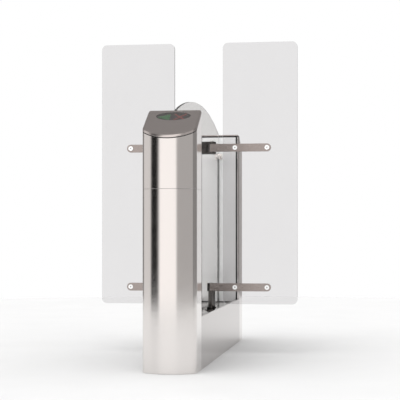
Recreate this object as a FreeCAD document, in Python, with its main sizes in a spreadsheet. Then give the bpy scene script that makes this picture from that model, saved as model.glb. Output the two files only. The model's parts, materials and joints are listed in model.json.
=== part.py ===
import FreeCAD, Part
import math
import os
import re

import Sketcher

# Centre stanchion of a two-lane swing-wing counting gate, in millimetres.
# X is across the lanes, Y along them, Z up. The origin is on the floor, at the centre of the stanchion.
# The rear pylon (+Y) is modelled; the front one is its copy, turned half round about Z.
# The right wing and its drive (+X) are modelled; the left ones are mirrored in X.

SIZES = {
    # overall
    "total_length": 1400, "pylon_width": 208, "pylon_height": 1000,
    # plan of a pylon: flat inner side, straight sides, rounded nose
    "straight_depth": 106, "nose_depth": 54, "nose_corner_radius": 30, "inner_corner_radius": 9,
    "least_corner_radius": 0.5,
    # sheet shells
    "shell_wall": 2, "seam_height": 690, "seam_gap": 0.8, "lip_width": 9, "seat_gap": 0.2,
    # sloping cap
    "cap_slope": 35, "cap_thickness": 6, "cap_chamfer": 4, "rim_width": 7,
    "cap_gasket_thickness": 3, "cap_gasket_inset": 3, "cap_gasket_width": 6,
    # indicator in the cap
    "window_length": 134, "window_width": 64, "window_thickness": 3, "board_gap": 1.7,
    "board_length": 146, "board_width": 58, "board_thickness": 1.6,
    "led_diameter": 4.4, "arrow_apex": 57, "arrow_column_pitch": 8, "arrow_row_pitch": 7,
    "cross_centre": 25, "cross_pitch": 5,
    # inner cover and its gasket
    "cover_gasket_width": 7.3, "cover_gasket_top": 3, "cover_gasket_bottom": 3, "cover_thickness": 2,
    "cover_gasket_recess": 0.4,
    # welded frame in a pylon
    "post_size": 20, "post_side_gap": 12, "frame_drop": 60, "frame_gap": 0.6,
    "plate_bottom": 240, "plate_drop": 100, "plate_wall": 3,
    # floor plate
    "floor_plate_thickness": 6, "plate_clearance": 0.5, "anchor_hole": 14, "anchor_spacing_across": 140,
    "anchor_spacing_along": 60, "anchor_depth": 70, "cable_entry": 60,
    # plinth
    "plinth_height": 206, "panel_end_radius": 1.5, "kerb_width": 12, "tray_drop": 16, "tray_flange": 40,
    # fixed glass screen
    "screen_thickness": 10, "screen_rise": 82, "screen_corner_radius": 15, "screen_end_gap": 3,
    "channel_width": 16, "channel_height": 7, "channel_floor": 2, "seal_wall": 2,
    "seal_reach": 22, "seal_drop": 0.5,
    "clamp_reach": 30, "clamp_radius": 14, "clamp_wall": 5, "clamp_foot": 18, "clamp_foot_wall": 3,
    "clamp_bolt": 8, "clamp_bolt_head": 14, "clamp_bolt_head_height": 4,
    # wings
    "wing_side_gap": 2, "wing_width": 324, "wing_ground_gap": 11, "wing_rise": 348,
    "wing_thickness": 10, "wing_corner_radius": 23, "wing_offset": 4,
    # arms
    "pivot_inset": 48, "upper_arm_drop": 107, "lower_arm_rise": 73, "arm_width": 34,
    "arm_thickness": 6, "arm_pad": 1.5, "arm_root": 6, "arm_reach": 260, "inner_screw_reach": 104,
    "screw_head": 20, "screw_head_height": 3, "screw_shank": 10, "screw_socket": 6, "screw_socket_depth": 2,
    "screw_back_disc": 24, "screw_back_height": 4, "screw_hole_gap": 1,
    # hubs, pins and shafts
    "hub_diameter": 40, "hub_margin": 0.5, "pin_diameter": 12, "pin_head": 18, "pin_head_height": 4,
    "running_gap": 0.05, "jaw_wall": 9, "jaw_width": 37, "jaw_gap": 0.5, "bracket_relief": 27,
    "bracket_bolt": 6, "bracket_bolt_head": 10, "bracket_bolt_head_height": 5, "bracket_bolt_spacing": 16,
    "bracket_web": 28, "sleeve_diameter": 30, "sleeve_lap": 18, "shaft_diameter": 20, "shaft_end_gap": 0.8,
    "collar_diameter": 40, "collar_gap": 0.3, "collar_height": 14, "collar_flange": 56,
    "collar_flange_height": 3, "collar_skirt": 8,
    # drive
    "deck_bottom": 60, "deck_thickness": 8, "deck_side_gap": 6, "deck_margin": 24, "deck_back": 66,
    "deck_leg": 12, "deck_hole": 24, "bearing_diameter": 42, "bearing_height": 12, "housing_diameter": 56,
    "housing_height": 16, "housing_floor": 2, "gear_module": 2, "gear_teeth": 42, "pinion_teeth": 18,
    "gear_face": 14, "gear_bottom": 28, "gear_backlash": 0.3, "motor_shaft": 10, "motor_shaft_depth": 20,
    "gearbox_diameter": 52, "gearbox_height": 40, "motor_diameter": 44, "motor_height": 52,
    "encoder_diameter": 36, "encoder_height": 14, "lug_inner": 12, "lug_outer": 34, "lug_width": 10,
    "lug_height": 12, "buffer_diameter": 10, "buffer_inset": 7, "buffer_gap": 0.6, "buffer_height": 14,
    "sensor_width": 16, "sensor_depth": 12, "sensor_height": 34, "sensor_gap": 2.5,
    # electronics in the front pylon
    "supply_width": 90, "supply_depth": 50, "supply_height": 180, "supply_bottom": 300,
    "control_width": 120, "control_height": 160, "control_bottom": 540, "standoff_length": 7,
    "standoff_diameter": 6, "standoff_inset": 8, "relay_width": 18, "relay_depth": 16, "relay_height": 30,
    "relay_pitch": 24, "relay_level": 100, "terminals_length": 100, "terminals_side": 12,
    "terminals_level": 18, "processor_side": 28, "processor_height": 3, "processor_level": 52,
    # how far a cutting tool stands out of what it cuts
    "tool_margin": 1,
}

ARROW_COLUMNS = 6
CROSS_LEDS_EACH_WAY = 4
RELAYS = 4
PRESSURE_ANGLE = 20
DEDENDUM = 1.25
FLANK_STEPS = 5
SAME_PLACE = 1e-4

# Expressions used in several places.
HALF_GAP = "(total_length / 2 - straight_depth - nose_depth)"
HALF_WIDTH = "(pylon_width / 2)"
TRAY_TOP = "(plinth_height - tray_drop)"
PIVOT = "(%s - pivot_inset)" % HALF_WIDTH
OPENING = "(pylon_width - 2 * lip_width)"
UPPER_LEVEL = "(pylon_height - upper_arm_drop)"
WING_BOTTOM = "(plinth_height + wing_ground_gap)"
LOWER_LEVEL = "(%s + lower_arm_rise)" % WING_BOTTOM
WING_EDGE = "(%s + wing_side_gap)" % HALF_WIDTH
GLASS_HOLE = "(screw_shank + 2 * screw_hole_gap)"
POST_SPACING = "(pylon_width - 2 * shell_wall - 2 * post_side_gap - post_size)"
FRAME_HEIGHT = "(pylon_height - frame_drop)"
SHAFT_BOTTOM = "(floor_plate_thickness + seat_gap + housing_floor + shaft_end_gap)"
SLEEVE_BOTTOM = "(%s - sleeve_lap)" % TRAY_TOP
SCREEN_HALF = "(%s - screen_end_gap)" % HALF_GAP
SCREEN_BOTTOM = "(%s + channel_floor + seat_gap)" % TRAY_TOP
GLASS_FRONT = "(wing_thickness / 2 + wing_offset)"
ARM_BACK = "(%s + arm_pad)" % GLASS_FRONT
ARM_FRONT = "(%s + arm_thickness)" % ARM_BACK
OUTER_SCREW_REACH = "(arm_reach - arm_width / 2)"
DECK_TOP = "(deck_bottom + deck_thickness)"
GEAR_DISTANCE = "(gear_module * (gear_teeth + pinion_teeth) / 2)"
DECK_WIDTH = "(pylon_width - 2 * shell_wall - 2 * deck_side_gap)"
DECK_FRONT = "(%s + gearbox_diameter / 2 + deck_margin)" % GEAR_DISTANCE
PLATE_BACK = "(%s + cover_thickness + frame_gap + post_size + plate_wall)" % HALF_GAP
LEVELS = [UPPER_LEVEL, LOWER_LEVEL]
GASKET_DEPTH = "(cap_thickness + cap_gasket_thickness)"
GASKET_END = "((cap_gasket_inset + cap_gasket_width + %s * sin(cap_slope)) / cos(cap_slope))" % GASKET_DEPTH
WINDOW_CENTRE = "(%s + board_gap + board_width / 2)" % GASKET_END

X_AXIS = FreeCAD.Vector(1, 0, 0)
Y_AXIS = FreeCAD.Vector(0, 1, 0)
Z_AXIS = FreeCAD.Vector(0, 0, 1)
UPRIGHT = FreeCAD.Rotation()
ALONG_X = FreeCAD.Rotation(Y_AXIS, 90)
ALONG_Y = FreeCAD.Rotation(X_AXIS, -90)
HALF_TURN = FreeCAD.Rotation(Z_AXIS, 180)

doc = FreeCAD.newDocument("CountingGate")
sheet = doc.addObject("Spreadsheet::Sheet", "Sizes")
parts = []


# ---------------------------------------------------------------- helpers

def fill_sheet():
    for row, (alias, number) in enumerate(SIZES.items(), start=1):
        sheet.set("A%d" % row, alias)
        sheet.set("B%d" % row, str(number))
        sheet.setAlias("B%d" % row, alias)
    doc.recompute()


def size(alias):
    return float(sheet.get(alias))


def formula(text):
    """An expression in the sheet's own aliases, each of which has an underscore in it."""
    return re.sub(r"\b([a-z]+(?:_[a-z]+)+)\b", r"Sizes.\1", str(text))


def bind(item, **formulas):
    for name, text in formulas.items():
        item.setExpression(name, formula(text))
    return item


def place(item, at, rotation=UPRIGHT):
    item.Placement = FreeCAD.Placement(FreeCAD.Vector(0, 0, 0), rotation)
    for axis, text in zip("xyz", at):
        item.setExpression("Placement.Base.%s" % axis, formula(text))
    return item


def box(name, low, lengths):
    """A block from its lowest corner and its lengths along X, Y and Z."""
    item = place(doc.addObject("Part::Box", name), low)
    return bind(item, Length=lengths[0], Width=lengths[1], Height=lengths[2])


def rod(name, foot, diameter, length, rotation=UPRIGHT):
    """A cylinder from the centre of its first end."""
    item = place(doc.addObject("Part::Cylinder", name), foot, rotation)
    return bind(item, Radius="(%s) / 2" % diameter, Height=length)


def cut(name, base, *tools):
    item = doc.addObject("Part::Cut", name)
    item.Base = base
    item.Tool = tools[0] if len(tools) == 1 else group(name + "_tools", *tools)
    return item


def join(name, *pieces):
    item = doc.addObject("Part::MultiFuse", name)
    item.Shapes = list(pieces)
    item.Refine = True
    return item


def common(name, base, tool):
    item = doc.addObject("Part::Common", name)
    item.Base = base
    item.Tool = tool
    return item


def group(name, *pieces):
    item = doc.addObject("Part::Compound", name)
    item.Links = list(pieces)
    return item


def turned(name, source):
    """The same piece at the other pylon, turned half round about Z."""
    item = group(name, source)
    item.Placement = FreeCAD.Placement(FreeCAD.Vector(0, 0, 0), HALF_TURN)
    return item


def moved(name, source, shift):
    return place(group(name, source), shift)


def mirrored(name, source):
    item = doc.addObject("Part::Mirroring", name)
    item.Source = source
    item.Base = FreeCAD.Vector(0, 0, 0)
    item.Normal = X_AXIS
    return item


def part(label, item):
    item.Label = label
    parts.append(item)
    return item


def both_pylons(label, source):
    part("rear_" + label, source)
    part("front_" + label, turned("Front_" + label, source))


def both_wings(label, source):
    part("right_" + label, source)
    part("left_" + label, mirrored("Left_" + label, source))


def edges_where(item, test):
    """Numbers of the edges whose middle point and direction pass the test."""
    doc.recompute()
    found = []
    for number, edge in enumerate(item.Shape.Edges, start=1):
        middle = edge.valueAt((edge.FirstParameter + edge.LastParameter) / 2)
        if test(edge, middle):
            found.append(number)
    return found


def rounded(name, base, radius, test):
    item = doc.addObject("Part::Fillet", name)
    item.Base = base
    item.Edges = [(number, radius, radius) for number in edges_where(base, test)]
    return item


def parallel(edge, axis):
    ends = edge.Vertexes
    if len(ends) != 2:
        return False
    run = ends[1].Point.sub(ends[0].Point)
    return run.Length > 0 and abs(abs(run.dot(axis)) - run.Length) < SAME_PLACE


# ---------------------------------------------------------------- plan of a pylon

def plan_sketch(name, inset):
    """The pylon's plan, moved in by the sizes named in inset: eight tangent lines and arcs."""
    sketch = doc.addObject("Sketcher::SketchObject", name)
    step = sum(size(alias) for alias in inset)
    step_text = " + ".join(inset) if inset else "0"
    half = size("pylon_width") / 2 - step
    corner = max(size("inner_corner_radius") - step, size("least_corner_radius"))
    straight = size("straight_depth")
    nose = size("nose_depth") - step
    bend = size("nose_corner_radius") - step
    radius = ((half - bend) ** 2 + nose ** 2 - bend ** 2) / (2 * (nose - bend))
    middle = straight + nose - radius
    lean = math.atan2(straight - middle, half - bend)
    quarter = math.pi / 2

    def arc(x, y, r, start, end):
        circle = Part.Circle(FreeCAD.Vector(x, y, 0), Z_AXIS, r)
        return Part.ArcOfCircle(circle, start, end)

    def line(x1, y1, x2, y2):
        return Part.LineSegment(FreeCAD.Vector(x1, y1, 0), FreeCAD.Vector(x2, y2, 0))

    loop = [
        line(corner - half, step, half - corner, step),
        arc(half - corner, step + corner, corner, -quarter, 0),
        line(half, step + corner, half, straight),
        arc(half - bend, straight, bend, 0, lean),
        arc(0, middle, radius, lean, math.pi - lean),
        arc(bend - half, straight, bend, math.pi - lean, math.pi),
        line(-half, straight, -half, step + corner),
        arc(corner - half, step + corner, corner, math.pi, 3 * quarter),
    ]
    for piece in loop:
        sketch.addGeometry(piece)
    for index in range(len(loop)):
        following = (index + 1) % len(loop)
        sketch.addConstraint(Sketcher.Constraint("Tangent", index, 2, following, 1))
    inner_side, inner_corner, right_side, nose_bend, nose_arc, left_side = 0, 1, 2, 3, 4, 6
    origin = (-1, 1)
    sketch.addConstraint(Sketcher.Constraint("Horizontal", inner_side))
    sketch.addConstraint(Sketcher.Constraint("Vertical", right_side))
    sketch.addConstraint(Sketcher.Constraint("Vertical", left_side))
    sketch.addConstraint(Sketcher.Constraint("Equal", inner_corner, 7))
    sketch.addConstraint(Sketcher.Constraint("Equal", nose_bend, 5))

    nose_radius = "((%s - nose_corner_radius)^2 + (nose_depth - (%s))^2" % (HALF_WIDTH, step_text)
    nose_radius += " - (nose_corner_radius - (%s))^2) / (2 * (nose_depth - nose_corner_radius))" % step_text
    driven = [
        ("DistanceX", origin + (right_side, 1), half, "%s - (%s)" % (HALF_WIDTH, step_text)),
        ("DistanceX", (left_side, 2) + origin, half, "%s - (%s)" % (HALF_WIDTH, step_text)),
        ("DistanceY", origin + (right_side, 2), straight, "straight_depth"),
        ("DistanceY", origin + (left_side, 1), straight, "straight_depth"),
        ("Radius", (inner_corner,), corner,
         "max(inner_corner_radius - (%s); least_corner_radius)" % step_text),
        ("Radius", (nose_bend,), bend, "nose_corner_radius - (%s)" % step_text),
        ("Radius", (nose_arc,), radius, nose_radius),
    ]
    if inset:
        driven.append(("DistanceY", origin + (inner_side, 1), step, step_text))
    else:
        sketch.addConstraint(Sketcher.Constraint("PointOnObject", inner_side, 1, -1))
    for kind, where, number, text in driven:
        index = sketch.addConstraint(Sketcher.Constraint(kind, *where, number))
        sketch.setExpression("Constraints[%d]" % index, formula(text))
    return sketch


def column(name, inset, bottom, height):
    """The pylon's plan, moved in by the inset and drawn upright."""
    item = doc.addObject("Part::Extrusion", name)
    item.Base = plan_sketch(name + "_plan", inset)
    item.DirMode = "Custom"
    item.Dir = Z_AXIS
    item.Solid = True
    bind(item, LengthFwd=height)
    return place(item, ("0", HALF_GAP, bottom))


# ---------------------------------------------------------------- sloping cap

def on_slope(across, along, depth):
    """A place measured down the slope from the pylon's top inner edge, and square to it."""
    return (
        across,
        "%s + (%s) * cos(cap_slope) - (%s) * sin(cap_slope)" % (HALF_GAP, along, depth),
        "pylon_height - (%s) * sin(cap_slope) - (%s) * cos(cap_slope)" % (along, depth),
    )


def slope_rotation():
    return FreeCAD.Rotation(X_AXIS.negative(), size("cap_slope"))


def on_the_slope(item, across, along, depth):
    """Places a piece that was drawn flat, tilted with the cap."""
    place(item, on_slope(across, along, depth), slope_rotation())
    item.setExpression("Placement.Rotation.Angle", formula("cap_slope"))
    return item


def slope_box(name, across, along, lengths, depth):
    """A block square to the cap; depth is that of its lower face."""
    item = doc.addObject("Part::Box", name)
    bind(item, Length=lengths[0], Width=lengths[1], Height=lengths[2])
    return on_the_slope(item, across, along, depth)


def slope_rod(name, across, along, diameter, length, depth):
    item = doc.addObject("Part::Cylinder", name)
    bind(item, Radius="(%s) / 2" % diameter, Height=length)
    return on_the_slope(item, across, along, depth)


def slope_layer(name, thickness, depth):
    """A slab over the whole pylon, square to the cap."""
    lengths = ("2 * pylon_width", "3 * (straight_depth + nose_depth)", thickness)
    return slope_box(name, "-pylon_width", "-(straight_depth + nose_depth)", lengths, depth)


def window_shape(name, shrink, thickness, depth):
    """The indicator's oval, as a plate square to the cap."""
    oval = doc.addObject("Part::Ellipse", name + "_oval")
    bind(oval, MajorRadius="window_length / 2 - (%s)" % shrink,
         MinorRadius="window_width / 2 - (%s)" % shrink)
    item = doc.addObject("Part::Extrusion", name)
    item.Base = oval
    item.DirMode = "Custom"
    item.Dir = Z_AXIS
    item.Solid = True
    bind(item, LengthFwd=thickness)
    return on_the_slope(item, "0", WINDOW_CENTRE, depth)


def cap_rim():
    slab = common("Rim_slab", column("Rim_column", [], "0", "2 * pylon_height"),
                  slope_layer("Rim_layer", "cap_thickness", "cap_thickness"))
    slope = math.radians(size("cap_slope"))
    normal = FreeCAD.Vector(0, math.sin(slope), math.cos(slope))
    edge_point = FreeCAD.Vector(0, size("total_length") / 2 - size("straight_depth") - size("nose_depth"),
                                size("pylon_height"))

    def on_top(edge, middle):
        return abs(middle.sub(edge_point).dot(normal)) < SAME_PLACE

    bevelled = doc.addObject("Part::Chamfer", "Rim_bevel")
    bevelled.Base = slab
    bevel = size("cap_chamfer")
    bevelled.Edges = [(number, bevel, bevel) for number in edges_where(slab, on_top)]
    both_pylons("cap_rim", cut("Rear_cap_rim", bevelled,
                               column("Rim_hole", ["rim_width"], "0", "2 * pylon_height")))


def cap_panel():
    slab = common("Panel_slab", column("Panel_column", ["rim_width", "seat_gap"], "0", "2 * pylon_height"),
                  slope_layer("Panel_layer", "cap_thickness", "cap_thickness"))
    hole = window_shape("Panel_hole", "0", "3 * cap_thickness", "2 * cap_thickness")
    both_pylons("cap_panel", cut("Rear_cap_panel", slab, hole))


def cap_gaskets():
    slab = common("Gasket_slab", column("Gasket_column", ["cap_gasket_inset"], "0", "2 * pylon_height"),
                  slope_layer("Gasket_layer", "cap_gasket_thickness", GASKET_DEPTH))
    hole = column("Gasket_hole", ["cap_gasket_inset", "cap_gasket_width"], "0", "2 * pylon_height")
    gasket = cut("Rear_cap_gasket", slab, hole)
    part("cap_gaskets", group("Cap_gaskets", gasket, turned("Front_cap_gasket", gasket)))


def indicator():
    window = window_shape("Rear_window", "seat_gap", "window_thickness", "window_thickness")
    part("indicator_windows", group("Windows", window, turned("Front_window", window)))
    board_depth = "cap_thickness + seat_gap + board_thickness"
    board = slope_box("Rear_board", "-board_length / 2", "%s - board_width / 2" % WINDOW_CENTRE,
                      ("board_length", "board_width", "board_thickness"), board_depth)
    part("indicator_boards", group("Boards", board, turned("Front_board", board)))

    led_height = "cap_thickness - window_thickness - seat_gap"
    arrow = []
    for column_number in range(ARROW_COLUMNS):
        for row in range(column_number + 1):
            across = "arrow_apex - %d * arrow_column_pitch" % column_number
            along = "%s + (%d - %d / 2) * arrow_row_pitch" % (WINDOW_CENTRE, row, column_number)
            arrow.append(slope_rod("Arrow_led", across, along, "led_diameter", led_height, "cap_thickness"))
    part("arrow_leds", group("Arrow_leds", *arrow, turned("Front_arrow", group("Rear_arrow", *arrow))))

    cross = []
    for arm in (1, -1):
        for step in range(-CROSS_LEDS_EACH_WAY, CROSS_LEDS_EACH_WAY + 1):
            if arm < 0 and step == 0:
                continue
            across = "-cross_centre + %d * cross_pitch" % step
            along = "%s + %d * cross_pitch" % (WINDOW_CENTRE, step * arm)
            cross.append(slope_rod("Cross_led", across, along, "led_diameter", led_height, "cap_thickness"))
    part("cross_leds", group("Cross_leds", *cross, turned("Front_cross", group("Rear_cross", *cross))))


# ---------------------------------------------------------------- pylon shells, covers and frames

def shell_tube(name, bottom, height):
    """The bent sheet, with its opening on the inner side."""
    low = "(%s) - tool_margin" % bottom
    tall = "(%s) + 2 * tool_margin" % height
    outer = column(name + "_outer", [], bottom, height)
    inner = column(name + "_inner", ["shell_wall"], low, tall)
    opening = box(name + "_opening", ("-%s / 2" % OPENING, "%s - tool_margin" % HALF_GAP, low),
                  (OPENING, "shell_wall + 2 * tool_margin", tall))
    return cut(name + "_tube", outer, inner, opening)


def lower_shell():
    tube = shell_tube("Lower", "0", "seam_height")
    notch = box("Lower_notch", ("-pylon_width", "%s - tool_margin" % HALF_GAP, "-tool_margin"),
                ("2 * pylon_width", "inner_corner_radius + tool_margin",
                 "plinth_height + seat_gap + tool_margin"))
    both_pylons("lower_shell", cut("Rear_lower_shell", tube, notch))


def upper_hood():
    tube = shell_tube("Hood", "seam_height + seam_gap", "pylon_height - seam_height - seam_gap")
    above = slope_layer("Hood_cut", "pylon_width", GASKET_DEPTH)
    both_pylons("upper_hood", cut("Rear_upper_hood", tube, above))


def cover_top():
    """Level of the hood's edge at the inner side, under the cap and its gasket."""
    return "(pylon_height - %s / cos(cap_slope))" % GASKET_DEPTH


def inner_cover():
    width = "(%s - 2 * cover_gasket_width - 2 * seat_gap)" % OPENING
    bottom = "(%s + cover_gasket_bottom + 2 * seat_gap)" % TRAY_TOP
    top = "(%s - cover_gasket_top - 3 * seat_gap)" % cover_top()
    both_pylons("inner_cover", box("Rear_inner_cover", ("-%s / 2" % width, HALF_GAP, bottom),
                                   (width, "cover_thickness", "%s - %s" % (top, bottom))))
    outer_width = "(%s - 2 * seat_gap)" % OPENING
    front = "%s + cover_gasket_recess" % HALF_GAP
    outer_height = "(%s - %s - 2 * seat_gap)" % (cover_top(), TRAY_TOP)
    frame = box("Gasket_block", ("-%s / 2" % outer_width, front, "%s + seat_gap" % TRAY_TOP),
                (outer_width, "cover_thickness", outer_height))
    inside = box("Gasket_inside",
                 ("-%s / 2 + cover_gasket_width" % outer_width, HALF_GAP,
                  "%s + seat_gap + cover_gasket_bottom" % TRAY_TOP),
                 ("%s - 2 * cover_gasket_width" % outer_width, "2 * cover_thickness",
                  "%s - cover_gasket_bottom - cover_gasket_top" % outer_height))
    gasket = cut("Rear_cover_gasket", frame, inside)
    part("cover_gaskets", group("Cover_gaskets", gasket, turned("Front_cover_gasket", gasket)))


def pylon_frame():
    """Two posts, a top bar and an equipment plate, welded together."""
    front = "%s + cover_thickness + frame_gap" % HALF_GAP
    bottom = "floor_plate_thickness"
    posts = []
    for name, low in (("Post_left", "-%s / 2 - post_size / 2" % POST_SPACING),
                      ("Post_right", "%s / 2 - post_size / 2" % POST_SPACING)):
        posts.append(box(name, (low, front, bottom),
                         ("post_size", "post_size", "%s - %s" % (FRAME_HEIGHT, bottom))))
    bar = box("Top_bar", ("-%s / 2" % POST_SPACING, front, "%s - post_size" % FRAME_HEIGHT),
              (POST_SPACING, "post_size", "post_size"))
    plate = box("Equipment_plate", ("-%s / 2" % POST_SPACING, front + " + post_size", "plate_bottom"),
                (POST_SPACING, "plate_wall", "pylon_height - plate_drop - plate_bottom"))
    both_pylons("frame", join("Rear_frame", posts[0], posts[1], bar, plate))


# ---------------------------------------------------------------- floor plate and plinth

def floor_plate():
    thickness = "floor_plate_thickness"
    rear = column("Plate_rear", ["shell_wall", "plate_clearance"], "0", thickness)
    width = "(pylon_width - 2 * shell_wall - 2 * plate_clearance)"
    length = "(2 * %s + 4 * inner_corner_radius)" % HALF_GAP
    web = box("Plate_web", ("-%s / 2" % width, "-%s / 2" % length, "0"), (width, length, thickness))
    solid = join("Plate_solid", rear, turned("Plate_front", rear), web)
    holes = []
    through = "floor_plate_thickness + 2 * tool_margin"
    for side in (-1, 1):
        for row in (-1, 1):
            at = ("%d * anchor_spacing_across / 2" % side,
                  "%s + anchor_depth + %d * anchor_spacing_along / 2" % (HALF_GAP, row), "-tool_margin")
            holes.append(rod("Anchor_hole", at, "anchor_hole", through))
    at = ("0", "%s + anchor_depth" % HALF_GAP, "-tool_margin")
    holes.append(rod("Cable_entry", at, "cable_entry", through))
    rear_holes = group("Rear_holes", *holes)
    part("floor_plate", cut("Floor_plate", solid, rear_holes, turned("Front_holes", rear_holes)))


def side_panels():
    """Side walls of the plinth with rounded ends, so that their joint with the pylons shows as a groove."""
    reach = "(%s + inner_corner_radius - 2 * seat_gap)" % HALF_GAP
    wall = box("Panel_wall", ("%s - shell_wall" % HALF_WIDTH, "-%s" % reach, "0"),
               ("shell_wall", "2 * %s" % reach, "plinth_height"))
    kerb_reach = "(%s - 2 * seat_gap)" % HALF_GAP
    kerb = box("Panel_kerb",
               ("%s - kerb_width" % HALF_WIDTH, "-%s" % kerb_reach, "plinth_height - shell_wall"),
               ("kerb_width", "2 * %s" % kerb_reach, "shell_wall"))
    face = size("pylon_width") / 2
    soft = rounded("Panel_rounded", wall, size("panel_end_radius"),
                   lambda edge, middle: parallel(edge, Z_AXIS) and abs(middle.x - face) < SAME_PLACE)
    right = join("Right_side_panel", soft, kerb)
    part("right_side_panel", right)
    part("left_side_panel", mirrored("Left_side_panel", right))


def tray():
    reach = "(%s - 2 * seat_gap)" % HALF_GAP
    half = "(%s - shell_wall - seat_gap)" % HALF_WIDTH
    top = box("Tray_top", ("-%s" % half, "-%s" % reach, "%s - shell_wall" % TRAY_TOP),
              ("2 * %s" % half, "2 * %s" % reach, "shell_wall"))
    pieces = [top]
    for name, low in (("Tray_left", "-%s" % half), ("Tray_right", "%s - shell_wall" % half)):
        pieces.append(box(name, (low, "-%s" % reach, "%s - tray_flange" % TRAY_TOP),
                          ("shell_wall", "2 * %s" % reach, "tray_flange")))
    solid = join("Tray_solid", *pieces)
    hole_size = "collar_diameter + 2 * seat_gap"
    hole = rod("Collar_hole", (PIVOT, "0", "%s - 2 * shell_wall" % TRAY_TOP), hole_size, "3 * shell_wall")
    part("plinth_tray", cut("Plinth_tray", solid, hole, mirrored("Left_collar_hole", hole)))


def shaft_collars():
    """Black collars in the tray, round the sleeves that rise from the plinth."""
    bottom = "%s - shell_wall - collar_skirt" % TRAY_TOP
    height = "collar_height + shell_wall + collar_skirt"
    body = rod("Collar_body", (PIVOT, "0", bottom), "collar_diameter", height)
    flange = rod("Collar_flange", (PIVOT, "0", "%s + seat_gap" % TRAY_TOP), "collar_flange",
                 "collar_flange_height")
    bore = rod("Collar_bore", (PIVOT, "0", "%s - tool_margin" % bottom), "sleeve_diameter + 2 * collar_gap",
               "%s + 2 * tool_margin" % height)
    right = cut("Right_collar", join("Collar_solid", body, flange), bore)
    part("shaft_collars", group("Shaft_collars", right, mirrored("Left_collar", right)))


# ---------------------------------------------------------------- fixed glass screen

def screen_holes():
    """Drilling for the bracket bolts and the end clamps, along X."""
    drill = []
    start = "-2 * screen_thickness"
    length = "4 * screen_thickness"
    for side in (-1, 1):
        at = (start, "%d * bracket_bolt_spacing / 2" % side, UPPER_LEVEL)
        drill.append(rod("Bracket_drill", at, "bracket_bolt + 2 * seat_gap", length, ALONG_X))
        at = (start, "%d * (%s - clamp_reach)" % (side, HALF_GAP), UPPER_LEVEL)
        drill.append(rod("Clamp_drill", at, "clamp_bolt + 2 * seat_gap", length, ALONG_X))
    return drill


def central_glass():
    half = SCREEN_HALF
    height = "(pylon_height + screen_rise - %s)" % SCREEN_BOTTOM
    sheet_block = box("Screen_block", ("-screen_thickness / 2", "-%s" % half, SCREEN_BOTTOM),
                      ("screen_thickness", "2 * %s" % half, height))
    radius = "((%s^2 + screen_rise^2) / (2 * screen_rise))" % half
    arch = rod("Screen_arch", ("-screen_thickness", "0", "pylon_height + screen_rise - %s" % radius),
               "2 * %s" % radius, "2 * screen_thickness", ALONG_X)
    arched = common("Screen_arched", sheet_block, arch)
    level = size("pylon_height")
    soft = rounded("Screen_rounded", arched, size("screen_corner_radius"),
                   lambda edge, middle: parallel(edge, X_AXIS) and abs(middle.z - level) < SAME_PLACE)
    part("central_glass", cut("Central_glass", soft, *screen_holes()))


def glass_channel():
    reach = "(%s - 2 * seat_gap)" % SCREEN_HALF
    body = box("Channel_body", ("-channel_width / 2", "-%s" % reach, TRAY_TOP),
               ("channel_width", "2 * %s" % reach, "channel_height"))
    slot_width = "(screen_thickness + 2 * seat_gap)"
    slot = box("Channel_slot", ("-%s / 2" % slot_width, "-2 * %s" % reach, "%s + channel_floor" % TRAY_TOP),
               (slot_width, "4 * %s" % reach, "channel_height"))
    part("glass_channel", cut("Glass_channel", body, slot))


def glass_edge_seals():
    """Black seals that grip the upright ends of the glass, from the channel up to the end clamps."""
    bottom = "(%s + channel_height + seat_gap)" % TRAY_TOP
    height = "%s - clamp_radius - seal_drop - %s" % (UPPER_LEVEL, bottom)
    grip = "(screen_thickness + 2 * seat_gap)"
    start = "(%s - seal_reach)" % SCREEN_HALF
    block = box("Seal_block", ("-%s / 2 - seal_wall" % grip, start, bottom),
                (grip + " + 2 * seal_wall", "seal_reach + screen_end_gap - seat_gap", height))
    groove = box("Seal_groove", ("-%s / 2" % grip, "%s - tool_margin" % start, "%s - tool_margin" % bottom),
                 (grip, "seal_reach + seat_gap + tool_margin", "%s + 2 * tool_margin" % height))
    seal = cut("Rear_seal", block, groove)
    part("glass_edge_seals", group("Edge_seals", seal, turned("Front_seal", seal)))


def glass_clamps():
    """Round-ended plates on both faces of the glass, each with a foot on the inner cover."""
    inner = "screen_thickness / 2 + seat_gap"
    reach_at = "%s - clamp_reach" % HALF_GAP
    low = "%s - clamp_radius" % UPPER_LEVEL
    plate = box("Clamp_plate", (inner, reach_at, low),
                ("clamp_wall", "clamp_reach - seat_gap", "2 * clamp_radius"))
    end = rod("Clamp_end", (inner, reach_at, UPPER_LEVEL), "2 * clamp_radius", "clamp_wall", ALONG_X)
    foot = box("Clamp_foot", (inner, "%s - seat_gap - clamp_foot_wall" % HALF_GAP, low),
               ("clamp_foot", "clamp_foot_wall", "2 * clamp_radius"))
    hole = rod("Clamp_hole", ("0", reach_at, UPPER_LEVEL), "clamp_bolt + 2 * seat_gap",
               "screen_thickness + clamp_wall", ALONG_X)
    right = cut("Clamp_right", join("Clamp_solid", plate, end, foot), hole)
    pair = group("Clamp_pair", right, mirrored("Clamp_left", right))
    part("glass_clamps", group("Glass_clamps", pair, turned("Front_clamps", pair)))


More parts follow.
